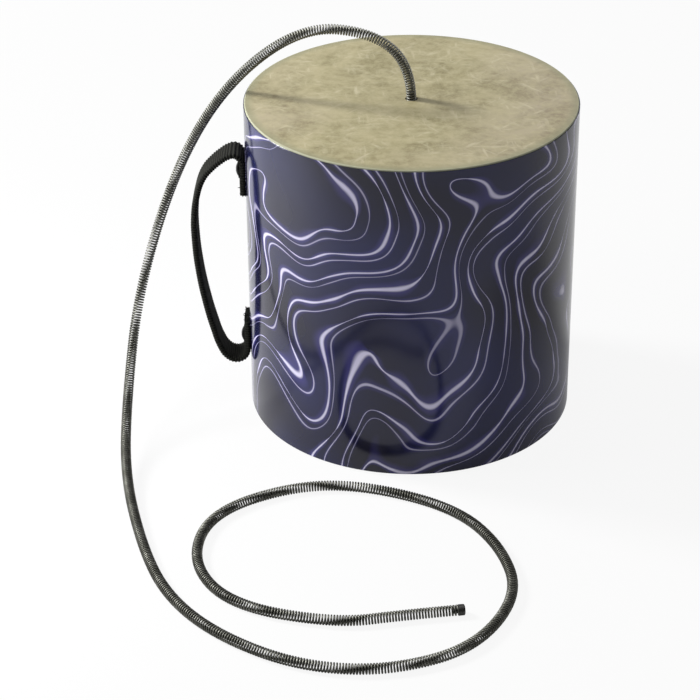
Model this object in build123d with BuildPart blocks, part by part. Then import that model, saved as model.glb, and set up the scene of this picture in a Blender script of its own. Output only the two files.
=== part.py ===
# Thunder tube: a single-headed drum, open below, with a long spring hanging from its head.
# Millimetres. The origin is on the floor under the drum's axis, +Z is up, and the handle is on -X.
import math
import os

from build123d import *

os.makedirs("parts", exist_ok=True)

# Drum body
drum_diameter = 254.0  # over the printed wrap
drum_height = 256.0  # floor to the top of the head
shell_wall = 5.0
wrap_thickness = 0.5
film_thickness = 0.4
glue_line = 0.2  # bond between the shell, the head and the wrap
bearing_edge = 0.6  # 45 degree cut that the head folds over
rim_chamfer = 0.8  # both edges of the open end
collar_depth = 8.0  # how far the folded head reaches down the shell
wrap_top_margin = 1.2  # bare edge of the head above the wrap
wrap_bottom_margin = 0.8
wrap_seam_gap = 0.6  # butt seam at the back

# Spring: wound wire, as outer diameter, wire and pitch
spring_diameter = 8.0
wire_diameter = 1.4
coil_pitch = 2.1
tube_sides = 8  # facets round the plain stretches of the spring
climb_rise = 26.0  # heights of the spring's corners above the head
arch_rise = 57.0
brink_rise = 6.0

# Anchor under the head
head_hole_diameter = 9.4
anchor_washer_diameter = 22.0
anchor_washer_thickness = 3.0
swivel_clearance = 0.2  # plug flange under the washer
plug_flange_diameter = 14.0
plug_flange_thickness = 2.0
plug_barrel_length = 9.0
plug_clearance = 0.3  # plug or cap barrel inside the coils, all round
barrel_chamfer = 0.6

# Cap on the spring's free end
cap_length = 4.6
cap_barrel_length = 3.5
cap_edge_chamfer = 1.0

# Webbing handle, with heights above the floor and reaches out from the drum's wall
strap_width = 25.0
strap_thickness = 4.2
strap_clearance = 0.1  # strap tail on the wrap
handle_top = 213.0
handle_bottom = 34.0
shoulder_reach = 24.5
handle_reach = 41.6
heel_reach = 22.5
swell_top = 164.0
swell_bottom = 128.0
shoulder_radius = 22.0
swell_top_radius = 100.0
swell_bottom_radius = 150.0
heel_radius = 15.0
strap_end_radius = 14.5  # round end of the loop, about the line that it turns on
swing_clearance = 0.5  # round end of the loop to the drum's wall
tail_clearance = 5.5  # end of each tail to the loop that turns over it
upper_tail_end = 180.5
lower_tail_end = 69.0

# Fasteners of the strap's tails
upper_screw_height = 197.5
lower_screw_height = 52.5
screw_diameter = 5.0
screw_hole_diameter = 5.5
screw_head_diameter = 11.0
screw_head_height = 2.2
screw_head_slope = 42.0  # degrees that the head leans in
screw_tip_length = 1.0  # screw end past its nut
outer_washer_diameter = 15.0
inner_washer_diameter = 18.0
washer_thickness = 1.0
washer_clearance = 0.1  # inner washer to the shell's curved wall
nut_width = 8.0  # across the flats
nut_height = 5.0
nut_bore_diameter = 5.2

# Sizes that follow
drum_radius = drum_diameter / 2
shell_radius = drum_radius - wrap_thickness - glue_line
shell_inner_radius = shell_radius - shell_wall
shell_top = drum_height - film_thickness - glue_line
rebate_radius = shell_radius - film_thickness - glue_line
collar_bottom = drum_height - collar_depth
anchor_top = drum_height - film_thickness - glue_line
anchor_bottom = anchor_top - anchor_washer_thickness
spring_seat = anchor_bottom - swivel_clearance
spring_radius = spring_diameter / 2
coil_radius = (spring_diameter - wire_diameter) / 2
bore_radius = spring_radius - wire_diameter
barrel_radius = bore_radius - plug_clearance
hinge_x = -(drum_radius + swing_clearance + strap_end_radius)

# The spring's route: up out of the head, over in an arch, down outside the handle to the
# floor, and round in a loose loop. These are the corners of the runs that its arcs join.
climb = [
    Vector(0, 0, spring_seat),
    Vector(0, 0, drum_height + climb_rise),
]
drop = [
    Vector(-29, 0, drum_height + arch_rise),
    Vector(-79, 0, drum_height + arch_rise),
    Vector(-140, 15, drum_height + brink_rise),
    Vector(-185, 35, 180),
    Vector(-216, 9, 86),
    Vector(-222, -58, 29),
    Vector(-217, -136, 6),
]
floor_loop = [
    Vector(-195, -230, spring_radius),
    Vector(-172, -290, spring_radius),
    Vector(-134, -335, spring_radius),
    Vector(-77, -369, spring_radius),
    Vector(-17, -374, spring_radius),
    Vector(42, -349, spring_radius),
    Vector(75, -287, spring_radius),
    Vector(65, -228, spring_radius),
    Vector(34, -179, spring_radius),
    Vector(-29, -149, spring_radius),
    Vector(-85, -147, spring_radius),
    Vector(-148, -184, spring_radius),
    Vector(-159, -247, spring_radius),
    Vector(-128, -300, spring_radius),
    Vector(-53, -321, spring_radius),
    Vector(-6, -311, spring_radius),
    Vector(32, -305, spring_radius),
]
fillet_share = 0.45  # of the shorter run, taken by the arc at each corner


def corner_radius(before, corner, after):
    run_in = corner - before
    run_out = after - corner
    shorter_run = min(run_in.length, run_out.length)
    half_turn = math.radians(run_in.get_angle(run_out)) / 2
    return fillet_share * shorter_run / math.tan(half_turn)


route = [*climb, *drop, *floor_loop]
radii = [corner_radius(*route[i - 1 : i + 2]) for i in range(1, len(route) - 1)]
print("spring route radii:", [round(radius, 1) for radius in radii])
climb_corners = len(climb) - 1
drop_corners = climb_corners + len(drop)
climb_middle = (climb[-1] + drop[0]) / 2  # where the wound wire hands over to the plain stretch
landing_middle = (drop[-1] + floor_loop[0]) / 2  # where the hanging stretch meets the floor loop

# Shell: a fibre tube, turned back at the top for the head's collar
with BuildPart() as shell:
    with BuildSketch(Plane.XZ) as shell_profile:
        with BuildLine():
            Polyline(
                (shell_inner_radius, 0),
                (shell_radius, 0),
                (shell_radius, collar_bottom - glue_line),
                (rebate_radius, collar_bottom - glue_line),
                (rebate_radius, shell_top),
                (shell_inner_radius, shell_top),
                close=True,
            )
        make_face()
        corners = shell_profile.vertices().group_by(Axis.Y)
        chamfer(corners[0], rim_chamfer)
        chamfer(corners[-1].sort_by(Axis.X)[-1], bearing_edge)
    revolve(axis=Axis.Z)
    with BuildSketch(Plane.YZ.offset(-drum_radius)):
        with Locations((0, upper_screw_height), (0, lower_screw_height)):
            Circle(screw_hole_diameter / 2)
    extrude(amount=2 * shell_wall, mode=Mode.SUBTRACT)
shell.part.label = "shell"
export_step(shell.part, "parts/shell.step")

# Drumhead: film folded over the bearing edge, with its collar under the wrap
film_offset = glue_line + film_thickness / 2  # middle of the film, off the shell
fold_shift = film_offset * math.tan(math.radians(45) / 2)
with BuildPart() as drumhead:
    with BuildSketch(Plane.XZ):
        with BuildLine():
            Polyline(
                (head_hole_diameter / 2, shell_top + film_offset),
                (rebate_radius - bearing_edge + fold_shift, shell_top + film_offset),
                (rebate_radius + film_offset, shell_top - bearing_edge + fold_shift),
                (rebate_radius + film_offset, collar_bottom),
            )
        trace(line_width=film_thickness)
    revolve(axis=Axis.Z)
drumhead.part.label = "drumhead"
export_step(drumhead.part, "parts/drumhead.step")

# Shell wrap: printed film round the shell and the head's collar, butted at the back
wrap_height = drum_height - wrap_top_margin - wrap_bottom_margin
with BuildPart() as shell_wrap:
    with BuildSketch(Plane.XY.offset(wrap_bottom_margin)):
        Circle(drum_radius)
        Circle(drum_radius - wrap_thickness, mode=Mode.SUBTRACT)
        with Locations((0, drum_radius)):
            Rectangle(wrap_seam_gap, 4 * wrap_thickness, mode=Mode.SUBTRACT)
    extrude(amount=wrap_height)
    with BuildSketch(Plane.YZ.offset(-drum_radius)):
        with Locations((0, upper_screw_height), (0, lower_screw_height)):
            Circle(screw_hole_diameter / 2)
    extrude(amount=4 * wrap_thickness, mode=Mode.SUBTRACT)
shell_wrap.part.label = "shell_wrap"
export_step(shell_wrap.part, "parts/shell_wrap.step")

# Anchor washer: a stiff disc bonded under the head, round its hole
with BuildPart() as anchor_washer:
    with BuildSketch(Plane.XY.offset(anchor_bottom)):
        Circle(anchor_washer_diameter / 2)
        Circle(head_hole_diameter / 2, mode=Mode.SUBTRACT)
    extrude(amount=anchor_washer_thickness)
anchor_washer.part.label = "anchor_washer"
export_step(anchor_washer.part, "parts/anchor_washer.step")

# Anchor plug: its barrel grips the spring from inside, its flange can't pass the washer
with BuildPart() as anchor_plug:
    with BuildSketch(Plane.XY.offset(spring_seat)):
        Circle(plug_flange_diameter / 2)
    extrude(amount=-plug_flange_thickness)
    with BuildSketch(Plane.XY.offset(spring_seat)):
        Circle(barrel_radius)
    extrude(amount=plug_barrel_length)
    chamfer(anchor_plug.edges().sort_by(Axis.Z)[-1], barrel_chamfer)
anchor_plug.part.label = "anchor_plug"
export_step(anchor_plug.part, "parts/anchor_plug.step")

# Spring coils: the wound wire from the plug up to the arch, along a line in the XZ plane.
# Each half turn is a biarc, and both ends turn to run straight along the spring.
with BuildLine() as wound_route:
    FilletPolyline(*climb, climb_middle, radius=radii[:climb_corners])
wound_line = wound_route.wire()
wound_length = wound_line.length
lead_angle = math.radians(50)  # of the turn from a straight end into the coils
lead_length = 2.5 * wire_diameter  # along the spring, straight end and turn together
coil_turns = int((wound_length - 2 * lead_length) / coil_pitch)
true_pitch = (wound_length - 2 * lead_length) / coil_turns


def on_spring(distance, angle):
    """The wire's middle at a distance along the spring and an angle round it."""
    middle = wound_line.position_at(distance, position_mode=PositionMode.LENGTH)
    along = wound_line.tangent_at(distance, position_mode=PositionMode.LENGTH)
    across = Vector(0, 1, 0)
    outward = across.cross(along)
    return middle + (outward * math.cos(angle) + across * math.sin(angle)) * coil_radius


def on_coil(turn):
    return on_spring(lead_length + turn * true_pitch, 2 * math.pi * turn)


def coil_direction(turn):
    step = 0.001
    return (on_coil(turn + step) - on_coil(turn - step)).normalized()


def biarc(start, start_direction, end, end_direction):
    """Two tangent arcs from one point and direction to another."""
    chord = end - start
    both = start_direction + end_direction
    spread = 2 * (1 - start_direction.dot(end_direction))
    lean = chord.dot(both)
    reach = (math.sqrt(lean**2 + spread * chord.dot(chord)) - lean) / spread
    first_corner = start + start_direction * reach
    second_corner = end - end_direction * reach
    meeting = (first_corner + second_corner) / 2
    TangentArc(start, meeting, tangent=start_direction)
    TangentArc(meeting, end, tangent=second_corner - first_corner)


foot = on_spring(0, -lead_angle)
foot_bend = on_spring(wire_diameter, -lead_angle)
tip_angle = 2 * math.pi * coil_turns + lead_angle
tip_bend = on_spring(wound_length - wire_diameter, tip_angle)
tip = on_spring(wound_length, tip_angle)
with BuildPart() as spring_coils:
    with BuildLine() as wire_line:
        Line(foot, foot_bend)
        biarc(foot_bend, wound_line % 0, on_coil(0), coil_direction(0))
        for half in range(2 * coil_turns):
            turn = half / 2
            ahead = turn + 0.5
            biarc(on_coil(turn), coil_direction(turn), on_coil(ahead), coil_direction(ahead))
        biarc(on_coil(coil_turns), coil_direction(coil_turns), tip_bend, wound_line % 1)
        Line(tip_bend, tip)
    with BuildSketch(Plane(foot, z_dir=wound_line % 0)):
        RegularPolygon(wire_diameter / 2, 4)
    sweep(path=wire_line.wire(), clean=False)
spring_coils.part.label = "spring_coils"
export_step(spring_coils.part, "parts/spring_coils.step")

gap_samples = 24  # points in each turn
coil_points = [on_coil(i / gap_samples) for i in range(coil_turns * gap_samples + 1)]
nearest = min(
    (coil_points[i] - coil_points[j]).length
    for i in range(len(coil_points))
    for j in range(i + gap_samples // 2, min(i + 2 * gap_samples, len(coil_points)))
)
print(f"spring coils: {coil_turns} turns, least gap {nearest - wire_diameter:.2f} mm")

# Spring drop and floor loop: the rest of the spring as a plain tube of its outside and bore
stretches = {
    "spring_drop": (
        [climb_middle, *drop, landing_middle],
        radii[climb_corners:drop_corners],
    ),
    "spring_floor_loop": (
        [landing_middle, *floor_loop],
        radii[drop_corners:],
    ),
}
for stretch_name, (stretch_points, stretch_radii) in stretches.items():
    with BuildPart() as stretch:
        with BuildLine() as stretch_line:
            FilletPolyline(*stretch_points, radius=stretch_radii)
        stretch_wire = stretch_line.wire()
        with BuildSketch(Plane(stretch_points[0], z_dir=stretch_wire % 0)) as stretch_section:
            RegularPolygon(spring_radius, tube_sides)
            RegularPolygon(bore_radius, tube_sides, major_radius=False, mode=Mode.SUBTRACT)
        sweep(path=stretch_wire)
    stretch.part.label = stretch_name
    export_step(stretch.part, f"parts/{stretch_name}.step")
    expected = stretch_section.sketch.area * stretch_wire.length
    print(f"{stretch_name}: {stretch_wire.length:.1f} mm long,", end=" ")
    print(f"volume {stretch.part.volume:.0f} of {expected:.0f} cubic mm")

# Spring end cap: a moulded plug with a bevelled head as wide as the spring
cap_direction = (route[-1] - route[-2]).normalized()
cap_plane = Plane(route[-1], z_dir=cap_direction)
with BuildPart() as spring_end_cap:
    with BuildSketch(cap_plane):
        Circle(spring_radius)
    extrude(amount=cap_length)
    chamfer(spring_end_cap.edges().sort_by(Axis(route[-1], cap_direction))[-1], cap_edge_chamfer)
    with BuildSketch(cap_plane):
        Circle(barrel_radius)
    extrude(amount=-cap_barrel_length)
spring_end_cap.part.label = "spring_end_cap"
export_step(spring_end_cap.part, "parts/spring_end_cap.step")

# Handle strap: the loop of webbing, whose ends turn about an upright line beside the drum
with BuildPart() as handle_strap:
    with BuildSketch(Plane.XZ):
        with BuildLine():
            FilletPolyline(
                (hinge_x + strap_end_radius, handle_top),
                (-drum_radius - shoulder_reach, handle_top),
                (-drum_radius - handle_reach, swell_top),
                (-drum_radius - handle_reach, swell_bottom),
                (-drum_radius - heel_reach, handle_bottom),
                (hinge_x + strap_end_radius, handle_bottom),
                radius=[shoulder_radius, swell_top_radius, swell_bottom_radius, heel_radius],
            )
        trace(line_width=strap_thickness)
    extrude(amount=strap_width / 2, both=True)
    with BuildSketch():
        with Locations((hinge_x, 0)):
            Circle(strap_end_radius)
            Rectangle(drum_diameter, strap_width, align=(Align.MAX, Align.CENTER))
    extrude(amount=drum_height, mode=Mode.INTERSECT)
handle_strap.part.label = "handle_strap"
export_step(handle_strap.part, "parts/handle_strap.step")

# Strap tails: the two ends of the webbing, lying on the wrap above and below the loop's gap
tail_inner = drum_radius + strap_clearance
tail_outer = tail_inner + strap_thickness
loop_room = strap_thickness / 2 + tail_clearance
tails = {
    "strap_tail_upper": (upper_tail_end, handle_top - loop_room, upper_screw_height),
    "strap_tail_lower": (handle_bottom + loop_room, lower_tail_end, lower_screw_height),
}
for tail_name, (tail_bottom, tail_top, hole_height) in tails.items():
    with BuildPart() as tail:
        with BuildSketch(Plane.XY.offset(tail_bottom)):
            Circle(tail_outer)
            Circle(tail_inner, mode=Mode.SUBTRACT)
            Rectangle(drum_diameter, strap_width, align=(Align.MAX, Align.CENTER), mode=Mode.INTERSECT)
        extrude(amount=tail_top - tail_bottom)
        with BuildSketch(Plane.YZ.offset(-tail_outer)):
            with Locations((0, hole_height)):
                Circle(screw_hole_diameter / 2)
        extrude(amount=2 * strap_thickness, mode=Mode.SUBTRACT)
    tail.part.label = tail_name
    export_step(tail.part, f"parts/{tail_name}.step")

# Fasteners: at each tail a bevelled screw and washer outside, a washer and lock nut inside.
# Each plane stands on the drum's wall, with its Z axis pointing out of the drum.
wall_curve = shell_inner_radius - math.sqrt(shell_inner_radius**2 - inner_washer_diameter**2 / 4)
outer_seat = tail_outer - drum_radius
head_seat = outer_seat + washer_thickness
inner_seat = shell_inner_radius - wall_curve - washer_clearance - drum_radius
nut_seat = inner_seat - washer_thickness
screw_tip = nut_seat - nut_height - screw_tip_length
for place, height in {"upper": upper_screw_height, "lower": lower_screw_height}.items():
    wall_plane = Plane((-drum_radius, 0, height), x_dir=(0, 1, 0), z_dir=(-1, 0, 0))

    with BuildPart() as strap_washer:
        with BuildSketch(wall_plane.offset(outer_seat)):
            Circle(outer_washer_diameter / 2)
            Circle(screw_hole_diameter / 2, mode=Mode.SUBTRACT)
        extrude(amount=washer_thickness)
    strap_washer.part.label = f"strap_washer_{place}"
    export_step(strap_washer.part, f"parts/strap_washer_{place}.step")

    with BuildPart() as handle_screw:
        with BuildSketch(wall_plane.offset(head_seat)):
            Circle(screw_head_diameter / 2)
        extrude(amount=screw_head_height, taper=screw_head_slope)
        with BuildSketch(wall_plane.offset(screw_tip)):
            Circle(screw_diameter / 2)
        extrude(amount=head_seat - screw_tip)
    handle_screw.part.label = f"handle_screw_{place}"
    export_step(handle_screw.part, f"parts/handle_screw_{place}.step")

    with BuildPart() as inner_washer:
        with BuildSketch(wall_plane.offset(inner_seat)):
            Circle(inner_washer_diameter / 2)
            Circle(screw_hole_diameter / 2, mode=Mode.SUBTRACT)
        extrude(amount=-washer_thickness)
    inner_washer.part.label = f"inner_washer_{place}"
    export_step(inner_washer.part, f"parts/inner_washer_{place}.step")

    with BuildPart() as handle_nut:
        with BuildSketch(wall_plane.offset(nut_seat)):
            RegularPolygon(nut_width / 2, 6, major_radius=False)
            Circle(nut_bore_diameter / 2, mode=Mode.SUBTRACT)
        extrude(amount=-nut_height)
    handle_nut.part.label = f"handle_nut_{place}"
    export_step(handle_nut.part, f"parts/handle_nut_{place}.step")
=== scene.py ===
import math

import bmesh
import bpy
from mathutils import Matrix, Vector


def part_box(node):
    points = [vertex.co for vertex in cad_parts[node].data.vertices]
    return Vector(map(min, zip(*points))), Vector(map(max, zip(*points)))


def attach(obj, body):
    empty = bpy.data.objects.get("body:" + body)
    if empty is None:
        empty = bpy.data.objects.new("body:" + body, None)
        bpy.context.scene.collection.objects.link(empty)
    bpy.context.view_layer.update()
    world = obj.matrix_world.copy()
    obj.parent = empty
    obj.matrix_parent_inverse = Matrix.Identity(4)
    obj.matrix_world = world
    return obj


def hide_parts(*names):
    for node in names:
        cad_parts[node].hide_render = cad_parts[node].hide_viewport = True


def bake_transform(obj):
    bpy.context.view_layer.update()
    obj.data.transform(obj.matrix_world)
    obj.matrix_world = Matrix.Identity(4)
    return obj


# Frame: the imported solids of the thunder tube, in metres, with the drum's foot at the origin,
# +Z up its axis and the handle on -X.
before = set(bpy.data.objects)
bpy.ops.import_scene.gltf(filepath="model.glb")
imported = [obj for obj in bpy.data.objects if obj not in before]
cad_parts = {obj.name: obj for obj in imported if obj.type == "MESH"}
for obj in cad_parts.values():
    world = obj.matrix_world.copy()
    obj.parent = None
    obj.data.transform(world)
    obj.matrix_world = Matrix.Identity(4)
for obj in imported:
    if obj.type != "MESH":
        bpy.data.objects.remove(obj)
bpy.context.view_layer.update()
mm = 0.001
scene = bpy.context.scene


# Shell: a tube of resin-bonded wood fibre, rolled and cured, turned back at the top for the
# head's collar and bevelled at the open end that it stands on.
def linear(colour):
    """An sRGB hex colour as the linear RGBA that a shader socket takes."""
    channels = [int(colour[i : i + 2], 16) / 255 for i in (1, 3, 5)]
    return (*[c / 12.92 if c <= 0.04045 else ((c + 0.055) / 1.055) ** 2.4 for c in channels], 1.0)


def add_node(tree, kind, settings=None, links=None):
    """Add a node with its properties and socket values, and link sockets of other nodes to it."""
    node = tree.nodes.new(kind)
    for name, value in (settings or {}).items():
        if isinstance(name, str) and name in node.bl_rna.properties:
            setattr(node, name, value)
        else:
            node.inputs[name].default_value = value
    for name, source in (links or {}).items():
        tree.links.new(source, node.inputs[name])
    return node


def new_material(name):
    """A material, its node tree, its shader and the Object coordinates that its patterns read."""
    material = bpy.data.materials.new(name)
    material.use_nodes = True
    tree = material.node_tree
    place = add_node(tree, "ShaderNodeTexCoord").outputs["Object"]
    return material, tree, tree.nodes["Principled BSDF"], place


def turned_mesh(name, outline, segments, material, seam=0.0, flats=None):
    """A closed outline of (radius, height) points turned about the Z axis.

    A seam leaves an open angle at the back, and flats keep the turned shape in a hexagon.
    """
    weld_distance = 0.001 * mm
    crease_angle = math.radians(40)
    turn = 2 * math.pi - seam
    stations = segments if seam == 0 else segments + 1
    count = len(outline)
    vertices = []
    for station in range(stations):
        angle = math.pi / 2 + seam / 2 + turn * station / segments
        off_flat = (angle + math.pi / 6) % (math.pi / 3) - math.pi / 6
        reach = math.inf if flats is None else flats / 2 / math.cos(off_flat)
        for radius, height in outline:
            held = min(radius, reach)
            vertices.append((held * math.cos(angle), held * math.sin(angle), height))
    faces = []
    for station in range(segments):
        here = station * count
        ahead = (station + 1) % stations * count
        for i in range(count):
            j = (i + 1) % count
            faces.append((here + i, ahead + i, ahead + j, here + j))
    if seam > 0:
        faces.append(tuple(range(count)))
        faces.append(tuple(segments * count + i for i in range(count)))
    mesh = bpy.data.meshes.new(name)
    mesh.from_pydata(vertices, [], faces)
    shape = bmesh.new()
    shape.from_mesh(mesh)
    bmesh.ops.remove_doubles(shape, verts=shape.verts, dist=weld_distance)
    bmesh.ops.recalc_face_normals(shape, faces=shape.faces)
    shape.to_mesh(mesh)
    shape.free()
    mesh.shade_smooth()
    mesh.set_sharp_from_angle(angle=crease_angle)
    mesh.materials.append(material)
    return mesh


def put_in_scene(name, data):
    """An object at the origin that shows a mesh, a curve, a lamp or a camera."""
    item = bpy.data.objects.new(name, data)
    scene.collection.objects.link(item)
    return item


def add_piece(mesh, body, slot, *nodes):
    """Put a finished mesh in the scene, riding on a body and standing for CAD nodes."""
    piece = put_in_scene(mesh.name, mesh)
    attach(piece, body)
    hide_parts(*nodes)
    return piece


# Raw resin-bonded wood fibre, cut and sanded: matted short fibres with darker resin between.
raw_fibre, tree, shader, place = new_material("Raw resin-bonded wood fibre")
clump = add_node(
    tree,
    "ShaderNodeTexNoise",
    {"Scale": 1 / (14 * mm), "Detail": 3.0},
    {"Vector": place},
)
lay = add_node(tree, "ShaderNodeMapping", {"Scale": (1, 1, 0.22)}, {"Vector": place})
fibre = add_node(
    tree,
    "ShaderNodeTexNoise",
    {"Scale": 1 / (1.6 * mm), "Detail": 4.0, "Roughness": 0.65, "Distortion": 0.8},
    {"Vector": lay.outputs["Vector"]},
)
resin = add_node(
    tree,
    "ShaderNodeMapRange",
    {"From Min": 0.38, "From Max": 0.66},
    {"Value": fibre.outputs["Fac"]},
)
board = add_node(
    tree,
    "ShaderNodeMix",
    {"data_type": "RGBA", 6: linear("#4b3826"), 7: linear("#86694a")},
    {0: resin.outputs["Result"]},
)
patch = add_node(
    tree,
    "ShaderNodeMapRange",
    {"From Min": 0.3, "From Max": 0.7},
    {"Value": clump.outputs["Fac"]},
)
tone = add_node(
    tree,
    "ShaderNodeMix",
    {"data_type": "RGBA", "blend_type": "MULTIPLY", 7: linear("#c9b9a4")},
    {0: patch.outputs["Result"], 6: board.outputs[2]},
)
matted = add_node(
    tree,
    "ShaderNodeBump",
    {"Strength": 0.5, "Distance": 0.15 * mm},
    {"Height": fibre.outputs["Fac"]},
)
tree.links.new(tone.outputs[2], shader.inputs["Base Color"])
tree.links.new(matted.outputs["Normal"], shader.inputs["Normal"])
shader.inputs["Roughness"].default_value = 0.62

shell_wall = 5 * mm
rim_chamfer = 0.8 * mm
bearing_edge = 0.6 * mm
rebate_depth = 0.6 * mm
glue_line = 0.2 * mm
round_segments = 256
shell_low, shell_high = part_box("shell")
head_low, head_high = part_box("drumhead")
shell_radius = shell_high.x
shell_bore = shell_radius - shell_wall
rebate_radius = shell_radius - rebate_depth
rebate_foot = head_low.z - glue_line
shell_outline = [
    (shell_bore + rim_chamfer, shell_low.z),
    (shell_radius - rim_chamfer, shell_low.z),
    (shell_radius, shell_low.z + rim_chamfer),
    (shell_radius, rebate_foot),
    (rebate_radius, rebate_foot),
    (rebate_radius, shell_high.z - bearing_edge),
    (rebate_radius - bearing_edge, shell_high.z),
    (shell_bore, shell_high.z),
    (shell_bore, shell_low.z + rim_chamfer),
]
shell_mesh = turned_mesh("drum_shell", shell_outline, round_segments, raw_fibre)
add_piece(shell_mesh, "drum", "fibre_shell", "shell")


# Drumhead: polyester film with a fibre look, stretched flat over the shell's bearing edge,
# folded down in a small round and glued to the shell under the wrap.
def round_points(centre, radius, bends):
    """Points of an arc about a centre, each bend being an angle from straight up."""
    across, up = centre
    return [(across + radius * math.sin(bend), up + radius * math.cos(bend)) for bend in bends]


head_radius = head_high.x

# Fibre-look film, printed and matt-coated: cloudy khaki with pale, short, crossing fibres, and a
# painted shade in a band inside the fold.
# The fibres are drawn wider than real ones, which are too fine to show.
fibre_film, tree, shader, place = new_material("Matt fibre-look polyester film")
cloud = add_node(
    tree,
    "ShaderNodeTexNoise",
    {"Scale": 1 / (42 * mm), "Detail": 6.0, "Roughness": 0.62, "Distortion": 0.5},
    {"Vector": place},
)
patch = add_node(
    tree,
    "ShaderNodeMapRange",
    {"From Min": 0.38, "From Max": 0.62},
    {"Value": cloud.outputs["Fac"]},
)
broad = add_node(
    tree,
    "ShaderNodeTexNoise",
    {"Scale": 1 / (160 * mm), "Detail": 1.0},
    {"Vector": place},
)
warm_drift = 0.3
drum_width = 254 * mm
across_head = add_node(tree, "ShaderNodeSeparateXYZ", {}, {"Vector": place}).outputs["X"]
drift = add_node(
    tree,
    "ShaderNodeMath",
    {"operation": "MULTIPLY_ADD", 1: warm_drift / drum_width},
    {0: across_head, 2: broad.outputs["Fac"]},
)
warmth = add_node(
    tree,
    "ShaderNodeMapRange",
    {"From Min": 0.4, "From Max": 0.6},
    {"Value": drift.outputs["Value"]},
)
olive = add_node(
    tree,
    "ShaderNodeMix",
    {"data_type": "RGBA", 6: linear("#867d56"), 7: linear("#afa57f")},
    {0: patch.outputs["Result"]},
)
stone = add_node(
    tree,
    "ShaderNodeMix",
    {"data_type": "RGBA", 6: linear("#8b7e67"), 7: linear("#b3a78f")},
    {0: patch.outputs["Result"]},
)
ground = add_node(
    tree,
    "ShaderNodeMix",
    {"data_type": "RGBA"},
    {0: warmth.outputs["Result"], 6: olive.outputs[2], 7: stone.outputs[2]},
)
fine = add_node(
    tree,
    "ShaderNodeTexNoise",
    {"Scale": 1 / (6 * mm), "Detail": 6.0, "Roughness": 0.75},
    {"Vector": place},
)
speck = add_node(
    tree,
    "ShaderNodeMapRange",
    {"From Min": 0.36, "From Max": 0.66, "To Max": 0.7},
    {"Value": fine.outputs["Fac"]},
)
film = add_node(
    tree,
    "ShaderNodeMix",
    {"data_type": "RGBA", 7: linear("#bcb38e")},
    {0: speck.outputs["Result"], 6: ground.outputs[2]},
)
tuft = add_node(
    tree,
    "ShaderNodeTexNoise",
    {"Scale": 1 / (26 * mm), "Detail": 2.0},
    {"Vector": place},
)
tuft_share = add_node(
    tree,
    "ShaderNodeMapRange",
    {
        "interpolation_type": "SMOOTHSTEP",
        "From Min": 0.42,
        "From Max": 0.6,
        "To Min": 0.08,
        "To Max": 0.55,
    },
    {"Value": tuft.outputs["Fac"]},
)
fibre_width = 5 * mm
fibre_slenderness = 5
fibre_sum = None
fibre_turns = (8, 47, 95, 131, 168)
for number, degrees in enumerate(fibre_turns):
    stretch = add_node(
        tree,
        "ShaderNodeMapping",
        {
            "vector_type": "TEXTURE",
            "Rotation": (0, 0, math.radians(degrees)),
            "Scale": (fibre_slenderness, 1, 1),
            "Location": (number, 0, 0),
        },
        {"Vector": place},
    )
    strand = add_node(
        tree,
        "ShaderNodeTexNoise",
        {"Scale": 1 / fibre_width, "Detail": 3.0, "Roughness": 0.6, "Distortion": 0.3},
        {"Vector": stretch.outputs["Vector"]},
    )
    thread = add_node(
        tree,
        "ShaderNodeMapRange",
        {"interpolation_type": "SMOOTHSTEP", "From Min": 0.52, "From Max": 0.8},
        {"Value": strand.outputs["Fac"]},
    )
    if fibre_sum is None:
        fibre_sum = thread.outputs["Result"]
    else:
        joined = add_node(
            tree,
            "ShaderNodeMath",
            {"operation": "MAXIMUM"},
            {0: fibre_sum, 1: thread.outputs["Result"]},
        )
        fibre_sum = joined.outputs["Value"]
fibre_show = add_node(
    tree,
    "ShaderNodeMath",
    {"operation": "MULTIPLY"},
    {0: fibre_sum, 1: tuft_share.outputs["Result"]},
)
fibred = add_node(
    tree,
    "ShaderNodeMix",
    {"data_type": "RGBA", 7: linear("#d8d0b1")},
    {0: fibre_show.outputs["Value"], 6: film.outputs[2]},
)
from_axis = add_node(
    tree,
    "ShaderNodeVectorMath",
    {"operation": "MULTIPLY", 1: (1, 1, 0)},
    {0: place},
)
radius = add_node(
    tree,
    "ShaderNodeVectorMath",
    {"operation": "LENGTH"},
    {0: from_axis.outputs["Vector"]},
)
# Painted shade: the film is drawn darker in a band from 9 mm inside the edge out to the fold.
edge_start = head_radius - 9 * mm
fold_start = head_radius - 1.1 * mm
painted_rim_shade = add_node(
    tree,
    "ShaderNodeMapRange",
    {
        "interpolation_type": "SMOOTHSTEP",
        "From Min": edge_start,
        "From Max": fold_start,
        "To Max": 0.6,
    },
    {"Value": radius.outputs["Value"]},
)
rim_shaded_film = add_node(
    tree,
    "ShaderNodeMix",
    {"data_type": "RGBA", 7: linear("#8f8f72")},
    {0: painted_rim_shade.outputs["Result"], 6: fibred.outputs[2]},
)
fold = add_node(
    tree,
    "ShaderNodeMapRange",
    {"From Min": fold_start, "From Max": fold_start + 0.6 * mm, "To Max": 0.75},
    {"Value": radius.outputs["Value"]},
)
edged = add_node(
    tree,
    "ShaderNodeMix",
    {"data_type": "RGBA", 7: linear("#bcbea3")},
    {0: fold.outputs["Result"], 6: rim_shaded_film.outputs[2]},
)
nap = add_node(
    tree,
    "ShaderNodeBump",
    {"Strength": 0.25, "Distance": 0.1 * mm},
    {"Height": fibre_sum},
)
tree.links.new(edged.outputs[2], shader.inputs["Base Color"])
tree.links.new(nap.outputs["Normal"], shader.inputs["Normal"])
shader.inputs["Roughness"].default_value = 0.6
shader.inputs["IOR"].default_value = 1.5

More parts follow.
